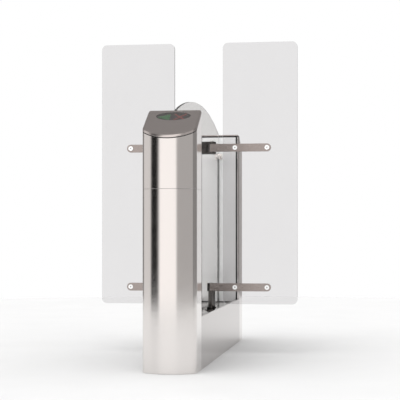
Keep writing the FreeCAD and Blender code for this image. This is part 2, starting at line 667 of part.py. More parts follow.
def clamp_bolts():
    """Bolts through the glass: one at each pair of end clamps, two at the pivot brackets."""
    half = "(screen_thickness / 2 + clamp_wall + 2 * seat_gap)"
    reach_at = "%s - clamp_reach" % HALF_GAP
    shank = rod("End_shank", ("-%s" % half, reach_at, UPPER_LEVEL), "clamp_bolt", "2 * %s" % half, ALONG_X)
    head = rod("End_head", (half, reach_at, UPPER_LEVEL), "clamp_bolt_head", "clamp_bolt_head_height",
               ALONG_X)
    end_bolt = join("End_bolt", shank, head, mirrored("End_nut", head))
    bolts = [end_bolt, turned("Front_end_bolt", end_bolt)]
    head_foot = "(bracket_web - bracket_bolt_head_height - seat_gap)"
    for number, side in enumerate((-1, 1)):
        at = "%d * bracket_bolt_spacing / 2" % side
        shank = rod("Bracket_shank_%d" % number, ("-%s" % head_foot, at, UPPER_LEVEL), "bracket_bolt",
                    "2 * %s" % head_foot, ALONG_X)
        head = rod("Bracket_head_%d" % number, (head_foot, at, UPPER_LEVEL), "bracket_bolt_head",
                   "bracket_bolt_head_height", ALONG_X)
        nut = mirrored("Bracket_nut_%d" % number, head)
        bolts.append(join("Bracket_bolt_%d" % number, shank, head, nut))
    part("clamp_bolts", group("Clamp_bolts", *bolts))


def pivot_brackets():
    """C-shaped forks on the glass that hold the upper pivots."""
    gap_height = "(arm_width + 2 * hub_margin + 2 * jaw_gap)"
    bottom = "(%s - %s / 2 - jaw_wall)" % (UPPER_LEVEL, gap_height)
    height = "(%s + 2 * jaw_wall)" % gap_height
    inner = "(screen_thickness / 2 + seat_gap)"
    block = box("Fork_block", (inner, "-jaw_width / 2", bottom),
                ("%s - %s" % (PIVOT, inner), "jaw_width", height))
    nose = rod("Fork_nose", (PIVOT, "0", bottom), "jaw_width", height)
    relief = rod("Fork_relief", (PIVOT, "0", "%s + jaw_wall" % bottom), "2 * bracket_relief", gap_height)
    mouth = box("Fork_mouth", (PIVOT, "-jaw_width", "%s + jaw_wall" % bottom),
                ("jaw_width", "2 * jaw_width", gap_height))
    bore = rod("Fork_bore", (PIVOT, "0", "%s - tool_margin" % bottom), "pin_diameter + 2 * running_gap",
               "%s + 2 * tool_margin" % height)
    tools = [relief, mouth, bore]
    for side in (-1, 1):
        at = "%d * bracket_bolt_spacing / 2" % side
        drill_size = "bracket_bolt + 2 * seat_gap"
        tools.append(rod("Fork_drill", ("0", at, UPPER_LEVEL), drill_size, PIVOT, ALONG_X))
        tools.append(rod("Fork_counterbore",
                         ("bracket_web - bracket_bolt_head_height - 2 * seat_gap", at, UPPER_LEVEL),
                         "bracket_bolt_head + 2 * seat_gap", "jaw_width", ALONG_X))
    right = cut("Right_bracket", join("Fork_solid", block, nose), *tools)
    part("right_pivot_bracket", right)
    part("left_pivot_bracket", mirrored("Left_bracket", right))
    head_foot = "%s + %s + seat_gap" % (bottom, height)
    foot = "%s - seat_gap" % bottom
    shank = rod("Pin_shank", (PIVOT, "0", foot), "pin_diameter", "%s - (%s)" % (head_foot, foot))
    head = rod("Pin_head", (PIVOT, "0", head_foot), "pin_head", "pin_head_height")
    pin = join("Right_pin", shank, head)
    part("pivot_pins", group("Pivot_pins", pin, mirrored("Left_pin", pin)))


# ---------------------------------------------------------------- wings

def screw_places():
    return [(reach, level) for level in LEVELS for reach in ("inner_screw_reach", OUTER_SCREW_REACH)]


def wing_glass():
    block = box("Wing_block", (WING_EDGE, "-%s" % GLASS_FRONT, WING_BOTTOM),
                ("wing_width", "wing_thickness", "pylon_height + wing_rise - %s" % WING_BOTTOM))
    soft = rounded("Wing_rounded", block, size("wing_corner_radius"),
                   lambda edge, middle: parallel(edge, Y_AXIS))
    holes = []
    for reach, level in screw_places():
        at = ("%s + %s" % (PIVOT, reach), "-2 * %s" % GLASS_FRONT, level)
        holes.append(rod("Wing_hole", at, GLASS_HOLE, "4 * %s" % GLASS_FRONT, ALONG_Y))
    both_wings("wing_glass", cut("Right_wing_glass", soft, *holes))


def strip(name, start, front, thickness, level, hole):
    """A flat strip with a rounded outer end and a hole for each disc screw."""
    end = "(%s + %s)" % (PIVOT, OUTER_SCREW_REACH)
    flat = box(name + "_flat", (start, "-%s" % front, "%s - arm_width / 2" % level),
               ("%s - (%s)" % (end, start), thickness, "arm_width"))
    tip = rod(name + "_tip", (end, "-%s" % front, level), "arm_width", thickness, ALONG_Y)
    holes = []
    for reach in ("inner_screw_reach", OUTER_SCREW_REACH):
        holes.append(rod(name + "_hole", ("%s + %s" % (PIVOT, reach), "-2 * %s" % front, level), hole,
                         "3 * %s" % front, ALONG_Y))
    return cut(name + "_strip", join(name + "_blank", flat, tip), *holes)


def arms():
    for label, level in (("upper_arm", LEVELS[0]), ("lower_arm", LEVELS[1])):
        both_wings(label, strip(label, "%s - arm_root" % PIVOT, ARM_FRONT, "arm_thickness", level,
                                "screw_shank + 2 * seat_gap"))


def arm_pads():
    thickness = "arm_pad - 2 * running_gap"
    front = "(%s - running_gap)" % ARM_BACK
    pads = [strip("Pad_%d" % number, WING_EDGE, front, thickness, level, GLASS_HOLE)
            for number, level in enumerate(LEVELS)]
    both_wings("arm_pads", group("Right_arm_pads", *pads))


def disc_screws():
    """Bright disc heads with a small socket, through arm, pad and glass to a disc behind."""
    back = "(wing_thickness / 2 - wing_offset)"
    head_back = "(%s + seat_gap / 2)" % ARM_FRONT
    head_front = "-%s - screw_head_height" % head_back
    head = rod("Disc_head", ("0", head_front, "0"), "screw_head", "screw_head_height", ALONG_Y)
    shank = rod("Disc_shank", ("0", "-%s" % head_back, "0"), "screw_shank",
                "%s + %s + seat_gap" % (head_back, back), ALONG_Y)
    disc = rod("Disc_back", ("0", "%s + seat_gap" % back, "0"), "screw_back_disc", "screw_back_height",
               ALONG_Y)
    socket = rod("Disc_socket", ("0", head_front + " - tool_margin", "0"), "screw_socket",
                 "screw_socket_depth + tool_margin", ALONG_Y)
    screw = cut("Disc_screw", join("Disc_solid", head, shank, disc), socket)
    placed = []
    for number, (reach, level) in enumerate(screw_places()):
        placed.append(moved("Disc_screw_%d" % number, screw, ("%s + %s" % (PIVOT, reach), "0", level)))
    both_wings("disc_screws", group("Right_disc_screws", *placed))


def hub(name, bottom, height, bore):
    body = rod(name + "_body", (PIVOT, "0", bottom), "hub_diameter", height)
    flat = box(name + "_flat", ("0", "-hub_diameter", "%s - tool_margin" % bottom),
               ("2 * %s" % PIVOT, "hub_diameter - %s + seat_gap" % ARM_BACK,
                "%s + 2 * tool_margin" % height))
    hole = rod(name + "_hole", (PIVOT, "0", "0"), "%s + 2 * running_gap" % bore, "2 * pylon_height")
    return body, flat, hole


def hubs():
    height = "(arm_width + 2 * hub_margin)"
    bottom = "(%s - %s / 2)" % (UPPER_LEVEL, height)
    body, flat, hole = hub("Upper_hub", bottom, height, "pin_diameter")
    both_wings("upper_hub", cut("Right_upper_hub", body, flat, hole))

    bottom = "(%s - %s / 2)" % (LOWER_LEVEL, height)
    body, flat, hole = hub("Lower_hub", bottom, height, "shaft_diameter")
    sleeve = rod("Sleeve", (PIVOT, "0", SLEEVE_BOTTOM), "sleeve_diameter",
                 "%s - %s" % (bottom, SLEEVE_BOTTOM))
    head = cut("Lower_head", body, flat)
    both_wings("lower_hub", cut("Right_lower_hub", join("Lower_hub_solid", head, sleeve), hole))


def wing_shaft():
    length = "%s + arm_width / 2 - %s" % (LOWER_LEVEL, SHAFT_BOTTOM)
    both_wings("wing_shaft", rod("Right_wing_shaft", (PIVOT, "0", SHAFT_BOTTOM), "shaft_diameter", length))


# ---------------------------------------------------------------- drive

def gear_face_wire(teeth, phase):
    """The outline of an involute gear about the origin, with a tooth centred at the phase angle."""
    module = size("gear_module")
    pitch = module * teeth / 2
    base = pitch * math.cos(math.radians(PRESSURE_ANGLE))
    outer = pitch + module
    root = pitch - DEDENDUM * module

    def involute(radius):
        angle = math.acos(min(1, base / radius))
        return math.tan(angle) - angle

    half_tooth = (math.pi * module / 2 - size("gear_backlash") / 2) / (2 * pitch)
    start = max(root, base)
    radii = [start + (outer - start) * step / FLANK_STEPS for step in range(FLANK_STEPS + 1)]
    flank = [(radius, half_tooth + involute(pitch) - involute(radius)) for radius in radii]
    if root < base:
        flank.insert(0, (root, flank[0][1]))
    points = []
    for tooth in range(teeth):
        centre = phase + 2 * math.pi * tooth / teeth
        for radius, lean in flank:
            points.append((radius, centre - lean))
        for radius, lean in reversed(flank):
            points.append((radius, centre + lean))
    corners = [FreeCAD.Vector(radius * math.cos(angle), radius * math.sin(angle), 0)
               for radius, angle in points]
    return Part.makePolygon(corners + [corners[0]])


def gear_blank(name, teeth_alias, phase, at):
    item = doc.addObject("Part::Feature", name)
    face = Part.Face(gear_face_wire(int(size(teeth_alias)), phase))
    item.Shape = face.extrude(FreeCAD.Vector(0, 0, size("gear_face")))
    return place(item, at)


def drive_gears():
    """Gear with a stop lug on each wing shaft, and the motor's pinion in mesh with it."""
    towards_pinion = -math.pi / 2
    blank = gear_blank("Gear_blank", "gear_teeth", towards_pinion, (PIVOT, "0", "gear_bottom"))
    lug = box("Gear_lug", ("%s + lug_inner" % PIVOT, "-lug_width / 2", "gear_bottom + gear_face"),
              ("lug_outer - lug_inner", "lug_width", "lug_height"))
    bore = rod("Gear_bore", (PIVOT, "0", "0"), "shaft_diameter + 2 * running_gap", "pylon_height")
    both_wings("drive_gear", cut("Right_drive_gear", join("Gear_solid", blank, lug), bore))

    space = math.pi / 2 + math.pi / size("pinion_teeth")
    blank = gear_blank("Pinion_blank", "pinion_teeth", space, (PIVOT, "-%s" % GEAR_DISTANCE, "gear_bottom"))
    shaft = rod("Pinion_shaft", (PIVOT, "-%s" % GEAR_DISTANCE, "gear_bottom"), "motor_shaft",
                "%s + motor_shaft_depth - gear_bottom" % DECK_TOP)
    both_wings("motor_pinion", join("Right_motor_pinion", blank, shaft))


def drive_deck():
    plate = box("Deck_plate", ("-%s / 2" % DECK_WIDTH, "-%s" % DECK_FRONT, "deck_bottom"),
                (DECK_WIDTH, "%s + deck_back" % DECK_FRONT, "deck_thickness"))
    pieces = [plate]
    for x in ("-%s / 2" % DECK_WIDTH, "%s / 2 - deck_leg" % DECK_WIDTH):
        for y in ("-%s" % DECK_FRONT, "deck_back - deck_leg"):
            pieces.append(box("Deck_leg", (x, y, "floor_plate_thickness"),
                              ("deck_leg", "deck_leg", "deck_bottom - floor_plate_thickness")))
    holes = []
    for side in (-1, 1):
        for along in ("0", "-%s" % GEAR_DISTANCE):
            at = ("%d * %s" % (side, PIVOT), along, "deck_bottom - tool_margin")
            holes.append(rod("Deck_hole", at, "deck_hole", "deck_thickness + 2 * tool_margin"))
    part("drive_deck", cut("Drive_deck", join("Deck_solid", *pieces), *holes))


def bearings():
    """A cup on the floor plate and one on the deck for each wing shaft, with a bearing in each."""
    cups = []
    rings = []
    for number, foot in enumerate(("floor_plate_thickness + seat_gap", "%s + seat_gap" % DECK_TOP)):
        cup = rod("Cup_%d" % number, (PIVOT, "0", foot), "housing_diameter", "housing_height")
        seat = rod("Cup_seat_%d" % number, (PIVOT, "0", "%s + housing_floor" % foot),
                   "bearing_diameter + 2 * running_gap", "housing_height")
        tools = [seat]
        if number == 1:
            tools.append(rod("Cup_through", (PIVOT, "0", "deck_bottom"), "deck_hole", "pylon_height"))
        housing = cut("Housing_%d" % number, cup, *tools)
        ring = rod("Ring_%d" % number, (PIVOT, "0", "%s + housing_floor" % foot), "bearing_diameter",
                   "bearing_height")
        bore = rod("Ring_bore_%d" % number, (PIVOT, "0", "0"), "shaft_diameter + 2 * running_gap",
                   "pylon_height")
        bearing = cut("Bearing_%d" % number, ring, bore)
        cups += [housing, mirrored("Left_housing_%d" % number, housing)]
        rings += [bearing, mirrored("Left_bearing_%d" % number, bearing)]
    part("bearing_housings", group("Bearing_housings", *cups))
    part("shaft_bearings", group("Shaft_bearings", *rings))


def gearmotors():
    """Gearbox, motor with its brake, and encoder, standing on the deck over the pinion."""
    foot = "(%s + seat_gap)" % DECK_TOP
    along = "-%s" % GEAR_DISTANCE
    stack = []
    level = foot
    for name in ("gearbox", "motor", "encoder"):
        stack.append(rod(name.capitalize(), (PIVOT, along, level), name + "_diameter", name + "_height"))
        level = "(%s + %s_height)" % (level, name)
    bore = rod("Gearbox_bore", (PIVOT, along, "deck_bottom"), "motor_shaft + 2 * running_gap",
               "%s + motor_shaft_depth + 2 * tool_margin - deck_bottom" % DECK_TOP)
    both_wings("gearmotor", cut("Right_gearmotor", join("Motor_solid", *stack), bore))


def stops_and_sensors():
    foot = "deck_bottom - seat_gap - buffer_height"
    inward = "(lug_width / 2 + buffer_diameter / 2 + buffer_gap)"
    buffers = []
    for side in (-1, 1):
        at = ("%s - %s" % (PIVOT, inward), "%d * (lug_outer - buffer_inset)" % side, foot)
        buffers.append(rod("Buffer", at, "buffer_diameter", "buffer_height"))
    right = group("Right_buffers", *buffers)
    part("stop_buffers", group("Stop_buffers", right, mirrored("Left_buffers", right)))
    tip = "(gear_module * gear_teeth / 2 + gear_module + sensor_gap)"
    sensor = box("Right_sensor", ("%s - sensor_width / 2" % PIVOT, tip, "floor_plate_thickness + seat_gap"),
                 ("sensor_width", "sensor_depth", "sensor_height"))
    part("count_sensors", group("Count_sensors", sensor, mirrored("Left_sensor", sensor)))


# ---------------------------------------------------------------- electronics

def power_supply():
    case = box("Supply_case", ("-supply_width / 2", "%s + seat_gap" % PLATE_BACK, "supply_bottom"),
               ("supply_width", "supply_depth", "supply_height"))
    part("power_supply", turned("Power_supply", case))


def controller_board():
    """Board on four standoffs, with the relays, terminals and heat sink that stand on it."""
    back = "(%s + seat_gap + standoff_length)" % PLATE_BACK
    pieces = [box("Control_board", ("-control_width / 2", back, "control_bottom"),
                  ("control_width", "board_thickness", "control_height"))]
    for x in ("standoff_inset - control_width / 2", "control_width / 2 - standoff_inset"):
        for z in ("control_bottom + standoff_inset", "control_bottom + control_height - standoff_inset"):
            pieces.append(rod("Standoff", (x, "%s + seat_gap" % PLATE_BACK, z), "standoff_diameter",
                              "standoff_length", ALONG_Y))
    face = "%s + board_thickness" % back
    for number in range(RELAYS):
        at = ("%d * relay_pitch - terminals_length / 2" % number, face, "control_bottom + relay_level")
        pieces.append(box("Relay", at, ("relay_width", "relay_depth", "relay_height")))
    pieces.append(box("Terminals", ("-terminals_length / 2", face, "control_bottom + terminals_level"),
                      ("terminals_length", "terminals_side", "terminals_side")))
    pieces.append(box("Processor", ("-processor_side / 2", face, "control_bottom + processor_level"),
                      ("processor_side", "processor_height", "processor_side")))
    part("controller_board", turned("Controller_board", join("Control_solid", *pieces)))


# ---------------------------------------------------------------- checks and files

def check_document():
    doc.recompute()
    for item in doc.Objects:
        if "Invalid" in item.State or "Error" in item.State:
            raise RuntimeError("%s failed: %s" % (item.Name, item.State))
    for item in parts:
        if item.Shape.isNull() or not item.Shape.isValid() or not item.Shape.Solids:
            raise RuntimeError("%s has no valid solid" % item.Label)


def write_files():
    os.makedirs("parts", exist_ok=True)
    for item in parts:
        item.Shape.exportStep("parts/%s.step" % item.Label)
    print("%d nodes, %d solids" % (len(parts), sum(len(item.Shape.Solids) for item in parts)))


fill_sheet()
for make in (
    floor_plate, pylon_frame, lower_shell, upper_hood, cap_gaskets, cap_rim, cap_panel, indicator,
    inner_cover, side_panels, tray, shaft_collars, central_glass, glass_channel, glass_edge_seals,
    glass_clamps, clamp_bolts, pivot_brackets, wing_glass, arms, arm_pads, disc_screws, hubs,
    wing_shaft, drive_gears, drive_deck, bearings, gearmotors, stops_and_sensors, power_supply,
    controller_board,
):
    make()
check_document()
write_files()
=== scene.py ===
import bpy
import json
import math
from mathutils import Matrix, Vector

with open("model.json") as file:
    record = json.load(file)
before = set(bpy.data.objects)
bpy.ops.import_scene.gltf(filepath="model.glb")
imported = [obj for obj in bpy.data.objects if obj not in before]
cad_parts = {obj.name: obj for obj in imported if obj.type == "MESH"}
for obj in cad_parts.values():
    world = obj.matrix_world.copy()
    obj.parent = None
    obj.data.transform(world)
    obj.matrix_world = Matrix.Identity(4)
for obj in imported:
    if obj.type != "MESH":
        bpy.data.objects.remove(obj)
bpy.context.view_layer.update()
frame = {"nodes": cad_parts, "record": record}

# ---------------------------------------------------------------- material building blocks


def new_material(name):
    """An empty node material with its Principled shader."""
    material = bpy.data.materials.new(name)
    material.use_nodes = True
    return material, material.node_tree, material.node_tree.nodes["Principled BSDF"]


def coordinates(tree, stretch):
    """Object coordinates in metres, stretched so that one unit of noise is 1 / stretch metres."""
    source = tree.nodes.new("ShaderNodeTexCoord")
    mapping = tree.nodes.new("ShaderNodeMapping")
    mapping.inputs["Scale"].default_value = stretch
    tree.links.new(source.outputs["Object"], mapping.inputs["Vector"])
    return mapping.outputs["Vector"]


def noise(tree, stretch, detail=3.0, rough=0.55):
    """Noise stretched along the grain."""
    node = tree.nodes.new("ShaderNodeTexNoise")
    node.inputs["Scale"].default_value = 1.0
    node.inputs["Detail"].default_value = detail
    node.inputs["Roughness"].default_value = rough
    tree.links.new(coordinates(tree, stretch), node.inputs["Vector"])
    return node.outputs["Fac"]


def spread(tree, value, low, high, from_low=0.3, from_high=0.7):
    """The value taken to the range low to high."""
    node = tree.nodes.new("ShaderNodeMapRange")
    node.inputs["From Min"].default_value = from_low
    node.inputs["From Max"].default_value = from_high
    node.inputs["To Min"].default_value = low
    node.inputs["To Max"].default_value = high
    tree.links.new(value, node.inputs["Value"])
    return node.outputs["Result"]


def math_node(tree, operation, first, second=None):
    """One Math node; each input is a socket or a number."""
    node = tree.nodes.new("ShaderNodeMath")
    node.operation = operation
    for socket, value in zip(node.inputs, (first, second)):
        if isinstance(value, (int, float)):
            socket.default_value = value
        elif value is not None:
            tree.links.new(value, socket)
    return node.outputs[0]


def blended(tree, factor, first, second):
    """Two colours mixed by a factor; each is a socket or three numbers."""
    node = tree.nodes.new("ShaderNodeMix")
    node.data_type = "RGBA"
    tree.links.new(factor, node.inputs["Factor"])
    for socket, value in ((node.inputs[6], first), (node.inputs[7], second)):
        if isinstance(value, (tuple, list)):
            socket.default_value = (*value[:3], 1.0)
        else:
            tree.links.new(value, socket)
    return node.outputs[2]


def bump(tree, shader, height, strength, distance=0.0002, rounding=0.0):
    """Raises the surface by the height, over edges that catch the light as if rounded."""
    node = tree.nodes.new("ShaderNodeBump")
    if rounding:
        edge = tree.nodes.new("ShaderNodeBevel")
        edge.samples = 4
        edge.inputs["Radius"].default_value = rounding
        tree.links.new(edge.outputs["Normal"], node.inputs["Normal"])
    node.inputs["Strength"].default_value = strength
    node.inputs["Distance"].default_value = distance
    tree.links.new(height, node.inputs["Height"])
    tree.links.new(node.outputs["Normal"], shader.inputs["Normal"])


def worn_edges(tree, start=0.53, end=0.60):
    """1 on a sharp outer edge and 0 on a flat face."""
    geometry = tree.nodes.new("ShaderNodeNewGeometry")
    return spread(tree, geometry.outputs["Pointiness"], 0.0, 1.0, start, end)


def shaded(colour, factor):
    """A colour made lighter or darker."""
    return tuple(min(1.0, channel * factor) for channel in colour[:3])


def two_tone(tree, value, colour, dark, light):
    """The colour varied by the noise between two shades of itself."""
    return blended(tree, spread(tree, value, 0.0, 1.0), shaded(colour, dark), shaded(colour, light))


# ---------------------------------------------------------------- the finishes


def brushed(name, colour, grain, roughness=0.24, contrast=0.10, smudge=0.06, metallic=1.0, recess=0.0,
            rounding=0.0012):
    """Brushed sheet: long fine scratches along the grain, a slow change of tone and faint hand marks.

    Hollows shallower than the recess are darkened nearly to black with painted shade.
    """
    material, tree, shader = new_material(name)
    shader.inputs["Metallic"].default_value = metallic
    scratches = noise(tree, grain, 4.0, 0.65)
    clouds = noise(tree, (5.0, 5.0, 5.0), 3.0)
    marks = noise(tree, (38.0, 38.0, 38.0), 5.0, 0.6)
    tone = two_tone(tree, scratches, colour, 1.0 - contrast, 1.0 + contrast)
    cloudy = blended(tree, spread(tree, clouds, 0.0, 0.35), tone, shaded(colour, 0.90))
    base_colour = blended(tree, worn_edges(tree), cloudy, shaded(colour, 1.25))
    if recess:
        # painted shade: an ambient-occlusion mask darkens hollows and creases towards black
        hollow_shade = tree.nodes.new("ShaderNodeAmbientOcclusion")
        hollow_shade.inputs["Distance"].default_value = recess
        out_of_painted_shade = spread(tree, hollow_shade.outputs["AO"], 0.0, 1.0, 0.35, 0.85)
        base_colour = blended(tree, out_of_painted_shade, shaded(colour, 0.05), base_colour)
    tree.links.new(base_colour, shader.inputs["Base Color"])
    fine = spread(tree, scratches, roughness - smudge, roughness + smudge)
    hands = spread(tree, marks, -0.01, 0.02)
    tree.links.new(math_node(tree, "ADD", fine, hands), shader.inputs["Roughness"])
    bump(tree, shader, scratches, 0.10, 0.00015, rounding)
    return material


def turned(name, colour, roughness=0.18):
    """Machined steel: fine rings across the axis, with a little oil-dark tone between them."""
    material, tree, shader = new_material(name)
    shader.inputs["Metallic"].default_value = 1.0
    rings = noise(tree, (40.0, 40.0, 2600.0), 3.0)
    film = noise(tree, (60.0, 60.0, 25.0), 4.0)
    tone = two_tone(tree, rings, colour, 0.88, 1.08)
    oiled = blended(tree, spread(tree, film, 0.0, 0.4, 0.45, 0.75), tone, shaded(colour, 0.62))
    tree.links.new(blended(tree, worn_edges(tree), oiled, shaded(colour, 1.3)), shader.inputs["Base Color"])
    tree.links.new(spread(tree, rings, roughness - 0.05, roughness + 0.10), shader.inputs["Roughness"])
    bump(tree, shader, rings, 0.12, 0.0001, 0.0006)
    return material


def coated(name, colour, metallic, roughness, speck=900.0, strength=0.12, coat=0.0, wear=1.7, contrast=0.08):
    """Paint or powder coat: a fine orange peel, a slow change of gloss and paler rubbed edges."""
    material, tree, shader = new_material(name)
    shader.inputs["Metallic"].default_value = metallic
    shader.inputs["Coat Weight"].default_value = coat
    shader.inputs["Coat Roughness"].default_value = 0.12
    peel = noise(tree, (speck, speck, speck), 2.0, 0.5)
    clouds = noise(tree, (9.0, 9.0, 9.0), 4.0)
    tone = two_tone(tree, peel, colour, 1.0 - contrast, 1.0 + contrast)
    cloudy = blended(tree, spread(tree, clouds, 0.0, 0.4), tone, shaded(colour, 0.88))
    base_colour = blended(tree, worn_edges(tree, 0.54, 0.66), cloudy, shaded(colour, wear))
    tree.links.new(base_colour, shader.inputs["Base Color"])
    tree.links.new(spread(tree, clouds, roughness - 0.04, roughness + 0.07), shader.inputs["Roughness"])
    bump(tree, shader, peel, strength, 0.0002, 0.0012)
    return material


def clear_glass(name, face, edge, along, roughness=0.0):
    """Toughened glass: clear faces with a pale tint, edges in their own tint, a faint film of dust."""
    material, tree, shader = new_material(name)
    source = tree.nodes.new("ShaderNodeTexCoord")
    split = tree.nodes.new("ShaderNodeSeparateXYZ")
    tree.links.new(source.outputs["Normal"], split.inputs[0])
    facing = math_node(tree, "ABSOLUTE", split.outputs[along])
    rim = spread(tree, facing, 1.0, 0.0, 0.4, 0.8)
    film = noise(tree, (7.0, 7.0, 3.0), 4.0)
    faint = blended(tree, spread(tree, film, 0.0, 1.0), shaded(face, 0.985), face)
    tree.links.new(blended(tree, rim, faint, edge), shader.inputs["Base Color"])
    tree.links.new(spread(tree, film, roughness, roughness + 0.03), shader.inputs["Roughness"])
    shader.inputs["IOR"].default_value = 1.5
    shader.inputs["Transmission Weight"].default_value = 1.0
    return material


def lit(name, colour, strength):
    """A lamp lens that glows, with a moulded grain."""
    material, tree, shader = new_material(name)
    grain = noise(tree, (700.0, 700.0, 700.0), 2.0)
    tree.links.new(two_tone(tree, grain, colour, 0.8, 1.0), shader.inputs["Base Color"])
    tree.links.new(two_tone(tree, grain, colour, 0.75, 1.0), shader.inputs["Emission Color"])
    shader.inputs["Emission Strength"].default_value = strength
    shader.inputs["Roughness"].default_value = 0.25
    bump(tree, shader, grain, 0.05)
    return material


DUST = (0.09, 0.09, 0.085)


def rubber(name, colour):
    """Moulded rubber: matt, with a fine grain and a dusty bloom."""
    material, tree, shader = new_material(name)
    grain = noise(tree, (1400.0, 1400.0, 1400.0), 3.0)
    bloom = noise(tree, (45.0, 45.0, 45.0), 4.0)
    dusty = blended(tree, spread(tree, bloom, 0.0, 0.5), colour, DUST)
    tree.links.new(dusty, shader.inputs["Base Color"])
    tree.links.new(spread(tree, bloom, 0.62, 0.82), shader.inputs["Roughness"])
    bump(tree, shader, grain, 0.25, 0.0002)
    return material


def spangled(name, colour):
    """Galvanised sheet: the crystals' patches of tone and gloss."""
    material, tree, shader = new_material(name)
    shader.inputs["Metallic"].default_value = 1.0
    cells = tree.nodes.new("ShaderNodeTexVoronoi")
    cells.inputs["Scale"].default_value = 1.0
    tree.links.new(coordinates(tree, (90.0, 90.0, 90.0)), cells.inputs["Vector"])
    split = tree.nodes.new("ShaderNodeSeparateColor")
    tree.links.new(cells.outputs["Color"], split.inputs[0])
    dull = noise(tree, (30.0, 30.0, 30.0), 4.0)
    tone = blended(tree, split.outputs[0], shaded(colour, 0.8), shaded(colour, 1.12))
    dulled = blended(tree, spread(tree, dull, 0.0, 0.5), tone, shaded(colour, 0.75))
    tree.links.new(dulled, shader.inputs["Base Color"])
    tree.links.new(spread(tree, split.outputs[1], 0.28, 0.48, 0.0, 1.0), shader.inputs["Roughness"])
    bump(tree, shader, cells.outputs["Distance"], 0.08, 0.0002)
    return material


PAD_METAL = (0.62, 0.60, 0.52)


def laminate(name, colour):
    """A circuit board: solder mask in the colour, with paler tracks and plated pads."""
    material, tree, shader = new_material(name)
    tracks = tree.nodes.new("ShaderNodeTexBrick")
    tracks.inputs["Scale"].default_value = 1.0
    tracks.inputs["Brick Width"].default_value = 6.0
    tracks.inputs["Row Height"].default_value = 1.6
    tracks.inputs["Mortar Size"].default_value = 0.22
    tracks.inputs["Color1"].default_value = (*colour, 1.0)
    tracks.inputs["Color2"].default_value = (*shaded(colour, 0.8), 1.0)
    tracks.inputs["Mortar"].default_value = (*shaded(colour, 2.2), 1.0)
    tree.links.new(coordinates(tree, (700.0, 700.0, 700.0)), tracks.inputs["Vector"])
    pads = tree.nodes.new("ShaderNodeTexVoronoi")
    pads.inputs["Scale"].default_value = 1.0
    pads.inputs["Randomness"].default_value = 0.4
    tree.links.new(coordinates(tree, (160.0, 160.0, 160.0)), pads.inputs["Vector"])
    pad = spread(tree, pads.outputs["Distance"], 1.0, 0.0, 0.14, 0.18)
    plated = blended(tree, pad, tracks.outputs["Color"], PAD_METAL)
    tree.links.new(plated, shader.inputs["Base Color"])
    tree.links.new(spread(tree, pad, 0.38, 0.22, 0.0, 1.0), shader.inputs["Roughness"])
    bump(tree, shader, tracks.outputs["Fac"], 0.2, 0.0001)
    return material


STEEL = (0.60, 0.575, 0.56)
TAUPE = (0.275, 0.243, 0.230)
UPRIGHT_GRAIN = (6.0, 6.0, 900.0)
SMOKED_OPACITY = 0.55
FINISHES = {
    "brushed_stainless": brushed("Brushed stainless", STEEL, UPRIGHT_GRAIN, 0.12, 0.07, 0.02),
    "polished_stainless": brushed(
        "Polished stainless", (0.70, 0.68, 0.665), (9.0, 9.0, 700.0), 0.10, 0.04, 0.03),
    # the recess paints shade into this finish's hollows, such as screw sockets
    "bright_stainless": brushed(
        "Bright stainless", (0.93, 0.93, 0.92), (200.0, 200.0, 200.0), 0.20, 0.03, 0.03,
        metallic=0.15, recess=0.004),
    "cover_stainless": brushed(
        "Soft polished sheet", (0.96, 0.955, 0.92), (5.0, 5.0, 600.0), 0.15, 0.02, 0.03, metallic=0.12),
    "arm_stainless": brushed("Dark stainless", TAUPE, (8.0, 900.0, 900.0), 0.28, 0.07, 0.04),
    "cap_stainless": brushed("Satin stainless", (0.56, 0.515, 0.50), (6.0, 700.0, 700.0), 0.22, 0.05, 0.03),
    "black_metal": coated(
        "Black chrome", (0.075, 0.070, 0.067), 1.0, 0.10, speck=900.0, strength=0.03, coat=0.0, wear=1.8),
    "black_rubber": rubber("Black rubber", (0.016, 0.016, 0.016)),
    "wing_glass": clear_glass("Wing glass", (0.78, 0.772, 0.776), (0.94, 0.97, 0.96), "Y"),
    "screen_glass": clear_glass("Screen glass", (0.80, 0.79, 0.78), (0.16, 0.24, 0.23), "X"),
    "smoked_glass": coated(
        "Smoked glass", (0.075, 0.070, 0.068), 0.0, 0.10, speck=500.0, strength=0.02, coat=0.4, wear=1.5),
    "green_led": lit("Green lamp", (0.06, 0.62, 0.16), 0.75),
    "red_led": lit("Red lamp", (0.80, 0.10, 0.08), 0.75),
    "circuit_board": laminate("Circuit board", (0.02, 0.16, 0.06)),
    "frame_steel": coated("Grey primer", (0.24, 0.25, 0.26), 0.0, 0.55, speck=500.0, strength=0.2),
    "galvanised": spangled("Galvanised", (0.50, 0.52, 0.53)),
    "machined_steel": turned("Machined steel", (0.58, 0.575, 0.57)),
    "motor_black": coated(
        "Motor black", (0.022, 0.022, 0.024), 0.0, 0.38, speck=500.0, strength=0.25, coat=0.1, wear=3.0),
    "aluminium": brushed("Anodised aluminium", (0.66, 0.66, 0.67), (12.0, 300.0, 300.0), 0.36, 0.05, 0.04),
    "sensor_blue": coated(
        "Sensor plastic", (0.03, 0.11, 0.30), 0.0, 0.42, speck=900.0, strength=0.1, coat=0.0, wear=1.4),
}
# Painted shade: the side panels get the brushed stainless made darker, for the shade their sides show.
SHADED_PANEL = brushed(
    "Shaded brushed panel", (0.36, 0.335, 0.325), UPRIGHT_GRAIN, 0.12, 0.07, 0.02, rounding=0.003)
OWN_FINISH = {
    "indicator_boards": laminate("Black circuit board", (0.006, 0.007, 0.007)),
    "glass_edge_seals": rubber("Grey seal", (0.30, 0.305, 0.30)),
    "left_side_panel": SHADED_PANEL,
    "right_side_panel": SHADED_PANEL,
}
smoked_shader = FINISHES["smoked_glass"].node_tree.nodes["Principled BSDF"]
smoked_shader.inputs["Alpha"].default_value = SMOKED_OPACITY

SLOT_OF = {entry["node"]: entry["material_slot"] for entry in frame["record"]["subparts"]}

